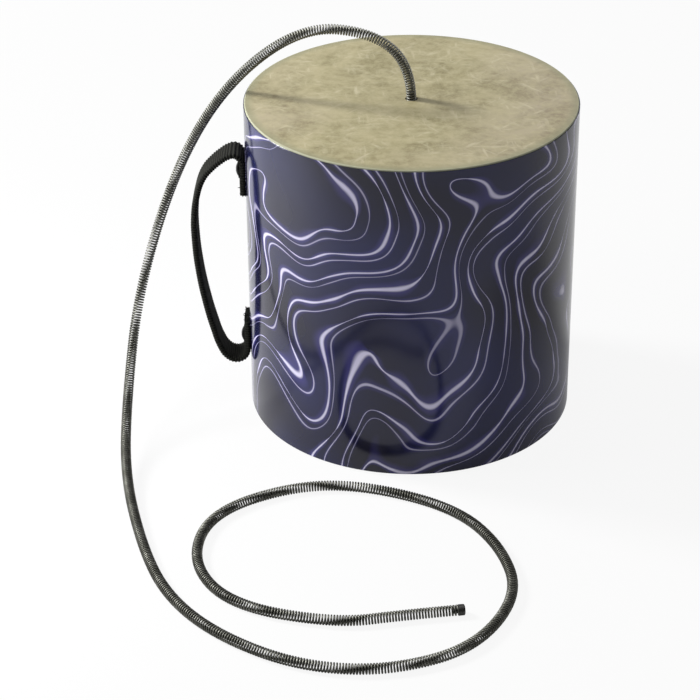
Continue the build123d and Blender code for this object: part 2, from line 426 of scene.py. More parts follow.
film_thickness = 0.4 * mm
fold_radius = 0.9 * mm
hole_radius = 4.7 * mm
hole_round = 0.1 * mm
fold_steps = 8
fold_axis = (head_radius - fold_radius, head_high.z - fold_radius)
quarter = [math.pi / 2 * step / fold_steps for step in range(fold_steps + 1)]
head_outline = [
    (hole_radius, head_high.z - film_thickness),
    (hole_radius, head_high.z - hole_round),
    (hole_radius + hole_round, head_high.z),
]
head_outline += round_points(fold_axis, fold_radius, quarter)
head_outline += [(head_radius, head_low.z), (head_radius - film_thickness, head_low.z)]
head_outline += round_points(fold_axis, fold_radius - film_thickness, reversed(quarter))
head_mesh = turned_mesh("drum_head", head_outline, round_segments, fibre_film)
add_piece(head_mesh, "drum", "head_film", "drumhead")

# Shell wrap: a printed film, glued round the shell and the head's collar and butted in a
# seam at the back. Its print is a plain marbling of pale veins on a dark violet ground.
# Gloss-laminated printed film: a clear hard face, with the marbling under it.
printed_film, tree, shader, place = new_material("Gloss-laminated printed film")
wrap_low, wrap_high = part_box("shell_wrap")
wrap_radius = wrap_high.x
spot = add_node(tree, "ShaderNodeSeparateXYZ", {}, {"Vector": place})
front = add_node(tree, "ShaderNodeMath", {"operation": "MULTIPLY", 1: -1.0}, {0: spot.outputs["Y"]})
bearing = add_node(
    tree,
    "ShaderNodeMath",
    {"operation": "ARCTAN2"},
    {0: spot.outputs["X"], 1: front.outputs["Value"]},
)
band_slope = math.radians(-52)
band_spacing = 66 * mm
band_sway = 4.0
finest_vein = 0.3 * mm
round_part = add_node(
    tree,
    "ShaderNodeMath",
    {"operation": "MULTIPLY", 1: wrap_radius * math.sin(band_slope) / band_spacing},
    {0: bearing.outputs["Value"]},
)
laid = add_node(
    tree,
    "ShaderNodeMath",
    {"operation": "MULTIPLY_ADD", 1: math.cos(band_slope) / band_spacing},
    {0: spot.outputs["Z"], 2: round_part.outputs["Value"]},
)
wander = add_node(
    tree,
    "ShaderNodeTexNoise",
    {"Scale": 1 / (105 * mm), "Detail": 1.0, "Roughness": 0.35, "Distortion": 0.3},
    {"Vector": place},
)
swayed = add_node(
    tree,
    "ShaderNodeMath",
    {"operation": "MULTIPLY_ADD", 1: band_sway},
    {0: wander.outputs["Fac"], 2: laid.outputs["Value"]},
)
swell = add_node(
    tree,
    "ShaderNodeTexNoise",
    {"Scale": 1 / (42 * mm), "Detail": 1.0},
    {"Vector": place},
)
swell_parts = add_node(tree, "ShaderNodeSeparateColor", {}, {"Color": swell.outputs["Color"]})
vein_sum = None
glow_sum = None
for lag, part, widest, strength in (
    (0.0, "Red", 3.6 * mm, 1.0),
    (0.17, "Green", 1.6 * mm, 0.7),
    (0.55, "Blue", 2.6 * mm, 0.9),
    (0.68, "Green", 1.3 * mm, 0.5),
):
    lagged = add_node(
        tree,
        "ShaderNodeMath",
        {"operation": "ADD", 1: lag},
        {0: swayed.outputs["Value"]},
    )
    off_vein = add_node(
        tree,
        "ShaderNodeMath",
        {"operation": "PINGPONG", 1: 0.5},
        {0: lagged.outputs["Value"]},
    )
    half_width = add_node(
        tree,
        "ShaderNodeMapRange",
        {
            "From Min": 0.36,
            "From Max": 0.64,
            "To Min": finest_vein / band_spacing,
            "To Max": widest / band_spacing,
        },
        {"Value": swell_parts.outputs[part]},
    )
    ratio = add_node(
        tree,
        "ShaderNodeMath",
        {"operation": "DIVIDE"},
        {0: off_vein.outputs["Value"], 1: half_width.outputs["Result"]},
    )
    core = add_node(
        tree,
        "ShaderNodeMapRange",
        {
            "interpolation_type": "SMOOTHSTEP",
            "From Min": 0.2,
            "From Max": 1.0,
            "To Min": strength,
            "To Max": 0.0,
        },
        {"Value": ratio.outputs["Value"]},
    )
    glow = add_node(
        tree,
        "ShaderNodeMapRange",
        {
            "interpolation_type": "SMOOTHSTEP",
            "From Max": 3.5,
            "To Min": 0.6 * strength,
            "To Max": 0.0,
        },
        {"Value": ratio.outputs["Value"]},
    )
    if vein_sum is None:
        vein_sum = core.outputs["Result"]
        glow_sum = glow.outputs["Result"]
    else:
        more_vein = add_node(
            tree,
            "ShaderNodeMath",
            {"operation": "MAXIMUM"},
            {0: vein_sum, 1: core.outputs["Result"]},
        )
        more_glow = add_node(
            tree,
            "ShaderNodeMath",
            {"operation": "MAXIMUM"},
            {0: glow_sum, 1: glow.outputs["Result"]},
        )
        vein_sum = more_vein.outputs["Value"]
        glow_sum = more_glow.outputs["Value"]
depth = add_node(
    tree,
    "ShaderNodeTexNoise",
    {"Scale": 1 / (90 * mm), "Detail": 1.0},
    {"Vector": place},
)
blue_share = add_node(
    tree,
    "ShaderNodeMapRange",
    {"From Min": 0.35, "From Max": 0.7},
    {"Value": depth.outputs["Fac"]},
)
night = add_node(
    tree,
    "ShaderNodeMix",
    {"data_type": "RGBA", 6: linear("#18172a"), 7: linear("#202452")},
    {0: blue_share.outputs["Result"]},
)
haloed = add_node(
    tree,
    "ShaderNodeMix",
    {"data_type": "RGBA", 7: linear("#4f4a94")},
    {0: glow_sum, 6: night.outputs[2]},
)
veined = add_node(
    tree,
    "ShaderNodeMix",
    {"data_type": "RGBA", 7: linear("#d9d5ee")},
    {0: vein_sum, 6: haloed.outputs[2]},
)
ripple = add_node(
    tree,
    "ShaderNodeTexNoise",
    {"Scale": 1 / (30 * mm), "Detail": 1.0},
    {"Vector": place},
)
bedding = add_node(
    tree,
    "ShaderNodeBump",
    {"Strength": 0.3, "Distance": 0.2 * mm},
    {"Height": ripple.outputs["Fac"]},
)
tree.links.new(veined.outputs[2], shader.inputs["Base Color"])
tree.links.new(bedding.outputs["Normal"], shader.inputs["Normal"])
shader.inputs["Roughness"].default_value = 0.12
shader.inputs["IOR"].default_value = 1.45

wrap_thickness = 0.5 * mm
wrap_cut = 0.12 * mm
seam_gap = 0.6 * mm
wrap_segments = 512
wrap_outline = [
    (wrap_radius - wrap_thickness, wrap_low.z),
    (wrap_radius - wrap_cut, wrap_low.z),
    (wrap_radius, wrap_low.z + wrap_cut),
    (wrap_radius, wrap_high.z - wrap_cut),
    (wrap_radius - wrap_cut, wrap_high.z),
    (wrap_radius - wrap_thickness, wrap_high.z),
]
seam_angle = seam_gap / wrap_radius
wrap_mesh = turned_mesh("printed_wrap", wrap_outline, wrap_segments, printed_film, seam=seam_angle)
add_piece(wrap_mesh, "drum", "printed_film", "shell_wrap")

# Anchor: a stiff washer bonded under the head round its hole, and a flanged plug that grips
# the spring's lower end from inside and turns under the washer.
# Moulded black nylon: a satin face from the mould's spark-eroded steel, whose grit is drawn coarser
# than it is, because the real one is too fine to show.
moulded_nylon, tree, shader, place = new_material("Moulded black nylon")
grain = add_node(
    tree,
    "ShaderNodeTexNoise",
    {"Scale": 1 / (0.5 * mm), "Detail": 3.0},
    {"Vector": place},
)
sheen = add_node(
    tree,
    "ShaderNodeMapRange",
    {"To Min": 0.38, "To Max": 0.56},
    {"Value": grain.outputs["Fac"]},
)
black = add_node(
    tree,
    "ShaderNodeMix",
    {"data_type": "RGBA", 6: linear("#222221"), 7: linear("#2e2e2b")},
    {0: grain.outputs["Fac"]},
)
erosion = add_node(
    tree,
    "ShaderNodeBump",
    {"Strength": 0.3, "Distance": 0.03 * mm},
    {"Height": grain.outputs["Fac"]},
)
tree.links.new(black.outputs[2], shader.inputs["Base Color"])
tree.links.new(sheen.outputs["Result"], shader.inputs["Roughness"])
tree.links.new(erosion.outputs["Normal"], shader.inputs["Normal"])
shader.inputs["IOR"].default_value = 1.53
for node in ("anchor_washer", "anchor_plug"):
    anchor_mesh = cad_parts[node].data
    anchor_mesh.materials.clear()
    anchor_mesh.materials.append(moulded_nylon)


# Spring: hard-drawn wire, wound on a mandrel to 8 mm with its turns a little open. It stands in
# the head's hole, arches over, hangs down past the handle and lies in a loose loop on the floor.
def plain_mesh(holder):
    """The mesh of an object as its modifiers or its curve leave it. The object itself goes."""
    evaluated = holder.evaluated_get(bpy.context.evaluated_depsgraph_get())
    mesh = bpy.data.meshes.new_from_object(evaluated)
    bpy.data.objects.remove(holder)
    return mesh


def new_node_tree(name, inputs):
    """A Geometry Nodes tree with named inputs of given kinds, and the node that gives them."""
    tree = bpy.data.node_groups.new(name, "GeometryNodeTree")
    tree.interface.new_socket("Geometry", in_out="INPUT", socket_type="NodeSocketGeometry")
    for input_name, kind in inputs.items():
        tree.interface.new_socket(input_name, in_out="INPUT", socket_type=f"NodeSocket{kind}")
    tree.interface.new_socket("Geometry", in_out="OUTPUT", socket_type="NodeSocketGeometry")
    return tree, add_node(tree, "NodeGroupInput")


def grown_mesh(name, source, tree, sizes):
    """The plain mesh that a node tree makes from a source mesh, with its named sizes set."""
    holder = put_in_scene(name, source)
    modifier = holder.modifiers.new(tree.name, "NODES")
    modifier.node_group = tree
    for socket in tree.interface.items_tree:
        if socket.name in sizes:
            modifier[socket.identifier] = sizes[socket.name]
    mesh = plain_mesh(holder)
    mesh.name = name
    return mesh


# Hard-drawn spring wire: dull grey, with darker stains of drawing oil at random, and a painted
# shade that draws it darker the lower it lies.
drawn_wire, tree, shader, place = new_material("Hard-drawn spring wire")
stain = add_node(
    tree,
    "ShaderNodeTexNoise",
    {"Scale": 1 / (12 * mm), "Detail": 4.0},
    {"Vector": place},
)
height = add_node(tree, "ShaderNodeSeparateXYZ", {}, {"Vector": place}).outputs["Z"]
# Painted shade: up to 280 mm above the floor the wire is drawn darker the lower it lies, and
# lighter above.
shade_fade_height = 280 * mm
painted_shade_by_height = add_node(
    tree,
    "ShaderNodeMapRange",
    {"From Min": 0.0, "From Max": shade_fade_height, "To Min": 0.2, "To Max": -0.15},
    {"Value": height},
)
stain_plus_shade = add_node(
    tree,
    "ShaderNodeMath",
    {"operation": "ADD"},
    {0: stain.outputs["Fac"], 1: painted_shade_by_height.outputs["Result"]},
)
oil_stain_and_shade = add_node(
    tree,
    "ShaderNodeMapRange",
    {"From Min": 0.35, "From Max": 0.75},
    {"Value": stain_plus_shade.outputs["Value"]},
)
steel = add_node(
    tree,
    "ShaderNodeMix",
    {"data_type": "RGBA", 6: linear("#86867f"), 7: linear("#565650")},
    {0: oil_stain_and_shade.outputs["Result"]},
)
polish = add_node(
    tree,
    "ShaderNodeMapRange",
    {"To Min": 0.4, "To Max": 0.55},
    {"Value": stain.outputs["Fac"]},
)
tree.links.new(steel.outputs[2], shader.inputs["Base Color"])
tree.links.new(polish.outputs["Result"], shader.inputs["Roughness"])
shader.inputs["Metallic"].default_value = 1.0

spring_radius = 4 * mm
wire_radius = 0.7 * mm
coil_pitch = 2.1 * mm
steps_per_turn = 16
wire_sides = 6
spring_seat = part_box("spring_coils")[0].z
route = [
    (0, 0, spring_seat / mm),
    (0, 0, 282),
    (-29, 0, 309.5),
    (-82.5, 0, 314),
    (-141, 15, 262),
    (-185, 35, 180),
    (-216, 9, 86),
    (-221.5, -58, 29),
    (-217, -136.5, 6),
    (-195, -230, 4),
    (-172, -290, 4),
    (-134, -335, 4),
    (-77, -369, 4),
    (-17, -374, 4),
    (42, -349, 4),
    (75, -287, 4),
    (65, -228, 4),
    (34, -179, 4),
    (-29, -149, 4),
    (-85, -147, 4),
    (-148, -184, 4),
    (-159, -247, 4),
    (-128, -300, 4),
    (-53, -321, 4),
    (-6, -311, 4),
    (32, -305, 4),
]
route_curve = bpy.data.curves.new("spring_route", "CURVE")
route_curve.dimensions = "3D"
route_curve.resolution_u = 24
route_line = route_curve.splines.new("NURBS")
route_line.points.add(len(route) - 1)
for point, corner in zip(route_line.points, route):
    point.co = (*(Vector(corner) * mm), 1)
route_line.order_u = 3
route_line.use_endpoint_u = True
spring_line = plain_mesh(put_in_scene("spring_route", route_curve))
spring_points = [vertex.co.copy() for vertex in spring_line.vertices]
spring_length = sum((b - a).length for a, b in zip(spring_points, spring_points[1:]))

winding, given = new_node_tree(
    "Wound spring",
    {"Coil Radius": "Float", "Wire Radius": "Float", "Pitch": "Float", "Steps": "Int"},
)
spine = add_node(winding, "GeometryNodeMeshToCurve", {}, {"Mesh": given.outputs["Geometry"]})
stepped = add_node(
    winding,
    "GeometryNodeResampleCurve",
    {"mode": "COUNT"},
    {"Curve": spine.outputs["Curve"], "Count": given.outputs["Steps"]},
)
along = add_node(winding, "GeometryNodeSplineParameter")
tangent = add_node(winding, "GeometryNodeInputTangent")
normal = add_node(winding, "GeometryNodeInputNormal")
turns = add_node(
    winding,
    "ShaderNodeMath",
    {"operation": "DIVIDE"},
    {0: along.outputs["Length"], 1: given.outputs["Pitch"]},
)
angle = add_node(
    winding,
    "ShaderNodeMath",
    {"operation": "MULTIPLY", 1: 2 * math.pi},
    {0: turns.outputs["Value"]},
)
cosine = add_node(winding, "ShaderNodeMath", {"operation": "COSINE"}, {0: angle.outputs["Value"]})
sine = add_node(winding, "ShaderNodeMath", {"operation": "SINE"}, {0: angle.outputs["Value"]})
side = add_node(
    winding,
    "ShaderNodeVectorMath",
    {"operation": "CROSS_PRODUCT"},
    {0: tangent.outputs["Tangent"], 1: normal.outputs["Normal"]},
)
out_part = add_node(
    winding,
    "ShaderNodeVectorMath",
    {"operation": "SCALE"},
    {0: normal.outputs["Normal"], "Scale": cosine.outputs["Value"]},
)
side_part = add_node(
    winding,
    "ShaderNodeVectorMath",
    {"operation": "SCALE"},
    {0: side.outputs["Vector"], "Scale": sine.outputs["Value"]},
)
outward = add_node(
    winding,
    "ShaderNodeVectorMath",
    {"operation": "ADD"},
    {0: out_part.outputs["Vector"], 1: side_part.outputs["Vector"]},
)
offset = add_node(
    winding,
    "ShaderNodeVectorMath",
    {"operation": "SCALE"},
    {0: outward.outputs["Vector"], "Scale": given.outputs["Coil Radius"]},
)
helix = add_node(
    winding,
    "GeometryNodeSetPosition",
    {},
    {"Geometry": stepped.outputs["Curve"], "Offset": offset.outputs["Vector"]},
)
section = add_node(
    winding,
    "GeometryNodeCurvePrimitiveCircle",
    {"mode": "RADIUS", "Resolution": wire_sides},
    {"Radius": given.outputs["Wire Radius"]},
)
wire = add_node(
    winding,
    "GeometryNodeCurveToMesh",
    {"Fill Caps": True},
    {"Curve": helix.outputs["Geometry"], "Profile Curve": section.outputs["Curve"]},
)
smooth = add_node(winding, "GeometryNodeSetShadeSmooth", {}, {"Geometry": wire.outputs["Mesh"]})
realized = add_node(
    winding,
    "GeometryNodeRealizeInstances",
    {},
    {"Geometry": smooth.outputs["Geometry"]},
)
finished = add_node(
    winding,
    "GeometryNodeSetMaterial",
    {"Material": drawn_wire},
    {"Geometry": realized.outputs["Geometry"]},
)
add_node(winding, "NodeGroupOutput", {}, {"Geometry": finished.outputs["Geometry"]})
coil_steps = round(spring_length / coil_pitch * steps_per_turn)
spring_mesh = grown_mesh(
    "wound_spring",
    spring_line,
    winding,
    {
        "Coil Radius": spring_radius - wire_radius,
        "Wire Radius": wire_radius,
        "Pitch": coil_pitch,
        "Steps": coil_steps,
    },
)
spring_nodes = ("spring_coils", "spring_drop", "spring_floor_loop")
spring = add_piece(spring_mesh, "spring", "spring_steel", *spring_nodes)

# End cap: a moulded plug pushed into the spring's free end, with a rounded head as wide as
# the coils.
small_segments = 48
cap_length = 4.6 * mm
cap_round = 1 * mm
cap_barrel_radius = 2.3 * mm
cap_barrel_length = 3.5 * mm
cap_outline = [
    (0, -cap_barrel_length),
    (cap_barrel_radius, -cap_barrel_length),
    (cap_barrel_radius, 0),
    (spring_radius, 0),
]
cap_corner = (spring_radius - cap_round, cap_length - cap_round)
cap_outline += round_points(cap_corner, cap_round, reversed(quarter))
cap_outline.append((0, cap_length))
cap_mesh = turned_mesh("spring_cap", cap_outline, small_segments, moulded_nylon)
cap_direction = (Vector(route[-1]) - Vector(route[-2])).normalized()
cap_turn = cap_direction.to_track_quat("Z", "Y").to_matrix().to_4x4()
cap_mesh.transform(Matrix.Translation(Vector(route[-1]) * mm) @ cap_turn)
spring_cap = add_piece(cap_mesh, "spring", "moulded_nylon", "spring_end_cap")

# Handle strap: one length of black polypropylene webbing, 25 mm wide, woven with ribs across
# it. Both frayed ends lie on the wrap under a screw, and the rest stands out in a loop.
# Woven polypropylene webbing: matt black ribs with a little shine on each thread, and a painted
# highlight on each rib's crest with painted shade between the ribs.
webbing, tree, shader, place = new_material("Woven black polypropylene webbing")
rib_spacing = 2.2 * mm
warp_spacing = 0.9 * mm
run = add_node(tree, "ShaderNodeAttribute", {"attribute_name": "along"}).outputs["Fac"]
breadth = add_node(tree, "ShaderNodeAttribute", {"attribute_name": "across"}).outputs["Fac"]
rib_phase = add_node(
    tree,
    "ShaderNodeMath",
    {"operation": "MULTIPLY", 1: 2 * math.pi / rib_spacing},
    {0: run},
)
rib_wave = add_node(
    tree,
    "ShaderNodeMath",
    {"operation": "COSINE"},
    {0: rib_phase.outputs["Value"]},
)
warp_phase = add_node(
    tree,
    "ShaderNodeMath",
    {"operation": "MULTIPLY", 1: 2 * math.pi / warp_spacing},
    {0: breadth},
)
warp_wave = add_node(
    tree,
    "ShaderNodeMath",
    {"operation": "COSINE"},
    {0: warp_phase.outputs["Value"]},
)
warp_part = 0.35
weave = add_node(
    tree,
    "ShaderNodeMath",
    {"operation": "MULTIPLY_ADD", 1: warp_part},
    {0: warp_wave.outputs["Value"], 2: rib_wave.outputs["Value"]},
)
rise = add_node(
    tree,
    "ShaderNodeMapRange",
    {"From Min": -1 - warp_part, "From Max": 1 + warp_part},
    {"Value": weave.outputs["Value"]},
)
fuzz = add_node(
    tree,
    "ShaderNodeTexNoise",
    {"Scale": 1 / (0.8 * mm), "Detail": 3.0},
    {"Vector": place},
)
lint = add_node(
    tree,
    "ShaderNodeMapRange",
    {"To Min": 0.4, "To Max": 1.3},
    {"Value": fuzz.outputs["Fac"]},
)
# Painted highlight and shade: the yarn is drawn lighter on the rib crests and darker in the
# hollows, varied by the fuzz noise.
crest_light_share = add_node(
    tree,
    "ShaderNodeMath",
    {"operation": "MULTIPLY"},
    {0: rise.outputs["Result"], 1: lint.outputs["Result"]},
)
yarn_and_crest_light = add_node(
    tree,
    "ShaderNodeMix",
    {"data_type": "RGBA", 6: linear("#030303"), 7: linear("#2e2f28")},
    {0: crest_light_share.outputs["Value"]},
)
threads = add_node(
    tree,
    "ShaderNodeBump",
    {"Strength": 0.6, "Distance": 0.15 * mm},
    {"Height": rise.outputs["Result"]},
)
tree.links.new(yarn_and_crest_light.outputs[2], shader.inputs["Base Color"])
tree.links.new(threads.outputs["Normal"], shader.inputs["Normal"])
shader.inputs["Roughness"].default_value = 0.75
shader.inputs["Specular IOR Level"].default_value = 0.15

strap_width = 25 * mm
strap_thickness = 4.2 * mm
rib_height = 0.35 * mm
fray_length = 2 * mm
fray_density = 0.5 / mm**2
steps_per_rib = 6
section_points = 36
edge_share = 0.4
cut_slack = 0.01 * mm
strap_route = [
    (-129.2, 180.5),
    (-129.2, 190),
    (-129.2, 203),
    (-130.8, 209.5),
    (-135, 212.9),
    (-140, 211.8),
    (-145.5, 208.2),
    (-152, 202.6),
    (-159, 194),
    (-165, 177),
    (-167.5, 160),
    (-167.6, 140),
    (-165.5, 113),
    (-160.8, 84),
    (-155.7, 62),
    (-151, 46.5),
    (-146, 37.8),
    (-140, 34.3),
    (-134, 35.4),
    (-130.3, 40),
    (-129.2, 48),
    (-129.2, 58),
    (-129.2, 69),
]
strap_curve = bpy.data.curves.new("strap_route", "CURVE")
strap_curve.dimensions = "3D"
strap_curve.resolution_u = 16
strap_line = strap_curve.splines.new("BEZIER")
strap_line.bezier_points.add(len(strap_route) - 1)
for point, (reach, height) in zip(strap_line.bezier_points, strap_route):
    point.co = Vector((reach, 0, height)) * mm
    point.handle_left_type = "AUTO"
    point.handle_right_type = "AUTO"

webbing_sizes = {
    "Width": strap_width,
    "Thickness": strap_thickness,
    "Rib Spacing": rib_spacing,
    "Rib Height": rib_height,
    "Fray Length": fray_length,
}
ribbing, given = new_node_tree("Ribbed webbing", dict.fromkeys(webbing_sizes, "Float"))
spine = add_node(ribbing, "GeometryNodeMeshToCurve", {}, {"Mesh": given.outputs["Geometry"]})
rib_step = add_node(
    ribbing,
    "ShaderNodeMath",
    {"operation": "DIVIDE", 1: steps_per_rib},
    {0: given.outputs["Rib Spacing"]},
)
stepped = add_node(
    ribbing,
    "GeometryNodeResampleCurve",
    {"mode": "LENGTH"},
    {"Curve": spine.outputs["Curve"], "Length": rib_step.outputs["Value"]},
)
level = add_node(
    ribbing,
    "GeometryNodeSetCurveNormal",
    {"mode": "FREE", "Normal": (0, 1, 0)},
    {"Curve": stepped.outputs["Curve"]},
)
along = add_node(ribbing, "GeometryNodeSplineParameter")
measured = add_node(
    ribbing,
    "GeometryNodeStoreNamedAttribute",
    {"data_type": "FLOAT", "domain": "POINT", "Name": "along"},
    {"Geometry": level.outputs["Curve"], "Value": along.outputs["Length"]},
)
block = add_node(
    ribbing,
    "GeometryNodeCurvePrimitiveQuadrilateral",
    {"mode": "RECTANGLE"},
    {"Width": given.outputs["Width"], "Height": given.outputs["Thickness"]},
)
edge_round = add_node(
    ribbing,
    "ShaderNodeMath",
    {"operation": "MULTIPLY", 1: edge_share},
    {0: given.outputs["Thickness"]},
)
rounded = add_node(
    ribbing,
    "GeometryNodeFilletCurve",
    {"mode": "POLY", "Count": 3},
    {"Curve": block.outputs["Curve"], "Radius": edge_round.outputs["Value"]},
)
divided = add_node(
    ribbing,
    "GeometryNodeResampleCurve",
    {"mode": "COUNT", "Count": section_points},
    {"Curve": rounded.outputs["Curve"]},
)
where = add_node(ribbing, "GeometryNodeInputPosition")
sideways = add_node(ribbing, "ShaderNodeSeparateXYZ", {}, {"Vector": where.outputs["Position"]})
section = add_node(
    ribbing,
    "GeometryNodeStoreNamedAttribute",
    {"data_type": "FLOAT", "domain": "POINT", "Name": "across"},
    {"Geometry": divided.outputs["Curve"], "Value": sideways.outputs["X"]},
)
band = add_node(
    ribbing,
    "GeometryNodeCurveToMesh",
    {"Fill Caps": True},
    {"Curve": measured.outputs["Geometry"], "Profile Curve": section.outputs["Geometry"]},
)
run = add_node(ribbing, "GeometryNodeInputNamedAttribute", {"data_type": "FLOAT", "Name": "along"})
ribs = add_node(
    ribbing,
    "ShaderNodeMath",
    {"operation": "DIVIDE"},
    {0: run.outputs["Attribute"], 1: given.outputs["Rib Spacing"]},
)
phase = add_node(
    ribbing,
    "ShaderNodeMath",
    {"operation": "MULTIPLY", 1: 2 * math.pi},
    {0: ribs.outputs["Value"]},
)
wave = add_node(ribbing, "ShaderNodeMath", {"operation": "COSINE"}, {0: phase.outputs["Value"]})
lift = add_node(
    ribbing,
    "ShaderNodeMath",
    {"operation": "MULTIPLY"},
    {0: wave.outputs["Value"], 1: given.outputs["Rib Height"]},
)
normal = add_node(ribbing, "GeometryNodeInputNormal")
push = add_node(
    ribbing,
    "ShaderNodeVectorMath",
    {"operation": "SCALE"},
    {0: normal.outputs["Normal"], "Scale": lift.outputs["Value"]},
)
ribbed = add_node(
    ribbing,
    "GeometryNodeSetPosition",
    {},
    {"Geometry": band.outputs["Mesh"], "Offset": push.outputs["Vector"]},
)
whole = add_node(ribbing, "GeometryNodeCurveLength", {}, {"Curve": spine.outputs["Curve"]})
to_end = add_node(
    ribbing,
    "ShaderNodeMath",
    {"operation": "SUBTRACT"},
    {0: whole.outputs["Length"], 1: run.outputs["Attribute"]},
)
nearest_end = add_node(
    ribbing,
    "ShaderNodeMath",
    {"operation": "MINIMUM"},
    {0: run.outputs["Attribute"], 1: to_end.outputs["Value"]},
)
is_cut = add_node(
    ribbing,
    "ShaderNodeMath",
    {"operation": "LESS_THAN", 1: cut_slack},
    {0: nearest_end.outputs["Value"]},
)
fray_roots = add_node(
    ribbing,
    "GeometryNodeDistributePointsOnFaces",
    {"distribute_method": "RANDOM", "Density": fray_density, "Seed": 4},
    {"Mesh": ribbed.outputs["Geometry"], "Selection": is_cut.outputs["Value"]},
)
fray = add_node(
    ribbing,
    "GeometryNodeMeshCone",
    {"Vertices": 5, "Radius Top": 0.12 * mm, "Radius Bottom": 0.4 * mm},
    {"Depth": given.outputs["Fray Length"]},
)
lean = add_node(
    ribbing,
    "FunctionNodeRandomValue",
    {"data_type": "FLOAT_VECTOR", 0: (-0.5, -0.5, 0), 1: (0.5, 0.5, 0)},
)
leaning = add_node(
    ribbing,
    "FunctionNodeRotateRotation",
    {"rotation_space": "LOCAL"},
    {"Rotation": fray_roots.outputs["Rotation"], "Rotate By": lean.outputs["Value"]},
)
reach = add_node(
    ribbing,
    "FunctionNodeRandomValue",
    {"data_type": "FLOAT_VECTOR", 0: (0.8, 0.8, 0.2), 1: (1.2, 1.2, 1.2)},
)
frays = add_node(
    ribbing,
    "GeometryNodeInstanceOnPoints",
    {},
    {
        "Points": fray_roots.outputs["Points"],
        "Instance": fray.outputs["Mesh"],
        "Rotation": leaning.outputs["Rotation"],
        "Scale": reach.outputs["Value"],
    },
)
frayed = add_node(ribbing, "GeometryNodeJoinGeometry", {}, {"Geometry": ribbed.outputs["Geometry"]})
ribbing.links.new(frays.outputs["Instances"], frayed.inputs["Geometry"])
smooth = add_node(
    ribbing,
    "GeometryNodeSetShadeSmooth",
    {},
    {"Geometry": frayed.outputs["Geometry"]},
)
realized = add_node(
    ribbing,
    "GeometryNodeRealizeInstances",
    {},
    {"Geometry": smooth.outputs["Geometry"]},
)
finished = add_node(
    ribbing,
    "GeometryNodeSetMaterial",
    {"Material": webbing},
    {"Geometry": realized.outputs["Geometry"]},
)
add_node(ribbing, "NodeGroupOutput", {}, {"Geometry": finished.outputs["Geometry"]})
strap_spine = plain_mesh(put_in_scene("strap_route", strap_curve))
strap_mesh = grown_mesh("webbing_handle", strap_spine, ribbing, webbing_sizes)

# The held ends are bent to the wrap's round, which fades out towards the free loop.
free_reach = -138 * mm
held_reach = -131.5 * mm
for vertex in strap_mesh.vertices:
    share = min(max((vertex.co.x - free_reach) / (held_reach - free_reach), 0), 1)
    vertex.co.x += share * vertex.co.y**2 / (2 * wrap_radius)
strap = put_in_scene("webbing_handle", strap_mesh)
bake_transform(strap)
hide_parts("handle_strap", "strap_tail_upper", "strap_tail_lower")

# Fasteners: at each strap end a domed cross-head screw and a washer outside, and a washer and
# a lock nut inside the shell. Each is modelled with its outer end up, then set on the wall.
# Black oxide on steel: a thin dark skin that shows the metal's gloss on worn edges.
black_oxide, tree, shader, place = new_material("Black oxide steel")
mottle = add_node(
    tree,
    "ShaderNodeTexNoise",
    {"Scale": 1 / (1.2 * mm), "Detail": 4.0},
    {"Vector": place},
)
skin = add_node(
    tree,
    "ShaderNodeMix",
    {"data_type": "RGBA", 6: linear("#1f1f1f"), 7: linear("#343433")},
    {0: mottle.outputs["Fac"]},
)
worn = add_node(
    tree,
    "ShaderNodeMapRange",
    {"To Min": 0.32, "To Max": 0.5},
    {"Value": mottle.outputs["Fac"]},
)
tree.links.new(skin.outputs[2], shader.inputs["Base Color"])
tree.links.new(worn.outputs["Result"], shader.inputs["Roughness"])
shader.inputs["Metallic"].default_value = 0.85

# Zinc plating, blue passivated: pale grey with a soft crystalline mottle.
zinc_plate, tree, shader, place = new_material("Blue-passivated zinc plating")
spangle = add_node(
    tree,
    "ShaderNodeTexNoise",
    {"Scale": 1 / (1.5 * mm), "Detail": 3.0},
    {"Vector": place},
)
plate = add_node(
    tree,
    "ShaderNodeMix",
    {"data_type": "RGBA", 6: linear("#a9adb0"), 7: linear("#c6c9c8")},
    {0: spangle.outputs["Fac"]},
)
haze = add_node(
    tree,
    "ShaderNodeMapRange",
    {"To Min": 0.28, "To Max": 0.44},
    {"Value": spangle.outputs["Fac"]},
)
tree.links.new(plate.outputs[2], shader.inputs["Base Color"])
tree.links.new(haze.outputs["Result"], shader.inputs["Roughness"])
shader.inputs["Metallic"].default_value = 1.0

screw_low, screw_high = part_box("handle_screw_upper")
outer_low, outer_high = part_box("strap_washer_upper")
inner_low, inner_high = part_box("inner_washer_upper")
nut_low, nut_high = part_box("handle_nut_upper")
upper_height = (screw_low.z + screw_high.z) / 2
lower_low, lower_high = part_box("handle_screw_lower")
lower_height = (lower_low.z + lower_high.z) / 2
head_foot = -outer_low.x - wrap_radius
head_top = -screw_low.x - wrap_radius
screw_tip = -screw_high.x - wrap_radius
screw_head_radius = (screw_high.z - screw_low.z) / 2
shank_radius = 2.5 * mm
head_rim = 0.5 * mm
tip_chamfer = 0.6 * mm
dome_steps = 10
dome_rise = head_top - head_foot - head_rim
dome_radius = (screw_head_radius**2 + dome_rise**2) / (2 * dome_rise)
dome_spread = math.asin(screw_head_radius / dome_radius)
screw_outline = [
    (0, screw_tip),
    (shank_radius - tip_chamfer, screw_tip),
    (shank_radius, screw_tip + tip_chamfer),
    (shank_radius, head_foot),
    (screw_head_radius, head_foot),
]
dome_bends = [dome_spread * (1 - step / dome_steps) for step in range(dome_steps + 1)]
screw_outline += round_points((0, head_top - dome_radius), dome_radius, dome_bends)
screw_mesh = turned_mesh("domed_screw", screw_outline, small_segments, black_oxide)
recess_width = 1.3 * mm
recess_length = 5.4 * mm
recess_depth = 1.5 * mm
recess = bmesh.new()
